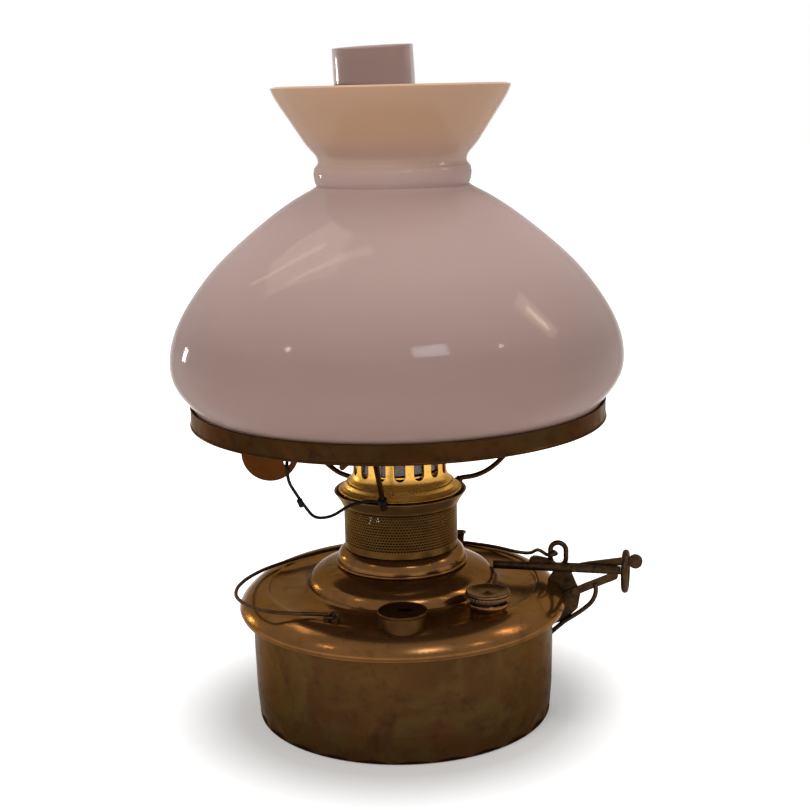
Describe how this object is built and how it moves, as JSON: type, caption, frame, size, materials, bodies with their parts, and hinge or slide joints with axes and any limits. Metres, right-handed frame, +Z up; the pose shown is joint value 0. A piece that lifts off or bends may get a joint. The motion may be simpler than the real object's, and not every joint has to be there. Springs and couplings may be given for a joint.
{
  "type": "kerosene lamp",
  "caption": "Kerosene table lamp: round brass font with fluted foot, round-wick burner, opal dome shade on a wire-armed holder, clear chimney and a side bracket with a hanging ring",
  "frame": {"origin": "on the axis of the font, in the plane it stands on", "axes": "+Z up along the axis of the font and burner, -Y the front with the gauge cup, +X the side with the bracket and its hanging ring"},
  "size_m": [0.2749, 0.2628, 0.3921],
  "materials": {
    "font_brass": "aged brass with a brown patina, worn bright on the edges",
    "dark_brass": "brass gone dark brown",
    "cap_brass": "brass, milled edge, lightly tarnished",
    "burner_brass": "burner brass with brown stains",
    "new_brass": "newer yellow brass, satin",
    "iron": "dark brown oxidised iron",
    "gasket": "dark pressed leather",
    "wick_cotton": "woven cotton, charred at the top",
    "opal_glass": "milk-white opal glass, glossy",
    "clear_glass": "clear blown glass",
    "tag_copper": "bare brown metal",
    "tie_black": "black, stiff"
  },
  "bodies": {
    "font": {"font_body": "font_brass", "font_rim": "font_brass", "font_top": "font_brass", "neck_collar": "font_brass", "gauge_cup": "font_brass", "gauge_disc": "dark_brass", "filler_collar": "font_brass", "vent_tube": "font_brass", "bail_staple": "iron", "bracket_rod": "iron", "bracket_strap": "iron", "bracket_upper_bar": "iron", "bracket_lug": "iron", "bracket_lower_bar": "iron", "bracket_eye": "iron", "bracket_brace": "iron", "bracket_rivets": "iron"},
    "gasket": {"cap_gasket": "gasket"},
    "cap": {"filler_cap": "cap_brass"},
    "bail": {"bail_wire": "iron"},
    "ring": {"hanging_ring": "iron"},
    "burner": {"burner_plug": "burner_brass", "burner_floor": "burner_brass", "burner_basket": "burner_brass", "wick_tube": "burner_brass", "draught_tube": "burner_brass", "spindle_bush": "burner_brass", "spindle_bracket": "burner_brass"},
    "wick_wheel": {"wick_spindle": "burner_brass", "wick_wheels": "burner_brass", "wick_knob": "burner_brass"},
    "wick_body": {"wick": "wick_cotton"},
    "shade_holder": {"holder_ring": "dark_brass", "holder_arm_front": "dark_brass", "holder_arm_right": "dark_brass", "holder_arm_left": "dark_brass", "shade_band": "dark_brass", "tag_disc": "tag_copper", "tag_tie": "tie_black"},
    "gallery": {"gallery_crown": "new_brass"},
    "chimney": {"chimney_glass": "clear_glass"},
    "shade": {"shade_glass": "opal_glass"}
  },
  "joints": [
    {"name": "cap_lift", "type": "slide", "parent": "font", "child": "gasket", "axis": [0, 0, 1], "range_m": [-0.0018, 0.006]},
    {"name": "cap_turn", "type": "hinge", "parent": "gasket", "child": "cap", "pos_m": [0.0482, -0.0557, 0.0878], "axis": [0, 0, 1], "range_deg": [-324, 1080]},
    {"name": "bail_lift", "type": "hinge", "parent": "font", "child": "bail", "pos_m": [-0.0414, -0.0632, 0.0788], "axis": [0.8864, 0.4554, 0.0824], "range_deg": [0, 14]},
    {"name": "ring_swing", "type": "hinge", "parent": "font", "child": "ring", "pos_m": [0.1334, -0.00848, 0.08905], "axis": [0.9734, -0.229, 0], "range_deg": [-60, 60]},
    {"name": "burner_turn", "type": "hinge", "parent": "font", "child": "burner", "pos_m": [0, 0, 0.1018], "axis": [0, 0, 1], "range_deg": [-15, 60]},
    {"name": "wick_turn", "type": "hinge", "parent": "burner", "child": "wick_wheel", "pos_m": [0.01645, 0.02, 0.11], "axis": [0, 1, 0], "range_deg": [-60, 50]},
    {"name": "wick_slide", "type": "slide", "parent": "burner", "child": "wick_body", "axis": [0, 0, 1], "range_m": [-0.0045, 0.0038]},
    {"name": "holder_lift", "type": "slide", "parent": "burner", "child": "shade_holder", "axis": [0, 0, 1], "range_m": [0, 0.025]},
    {"name": "gallery_lift", "type": "slide", "parent": "shade_holder", "child": "gallery", "axis": [0, 0, 1], "range_m": [0, 0.025]},
    {"name": "chimney_lift", "type": "slide", "parent": "gallery", "child": "chimney", "axis": [-0.0401, 0, 0.9992], "range_m": [0, 0.1]},
    {"name": "shade_lift", "type": "slide", "parent": "shade_holder", "child": "shade", "axis": [0, 0, 1], "range_m": [0, 0.06]}
  ],
  "couplings": [
    {"joint": "cap_lift", "follows": "cap_turn", "m_per_rad": 0.00031831},
    {"joint": "wick_slide", "follows": "wick_turn", "m_per_rad": 0.00425}
  ]
}
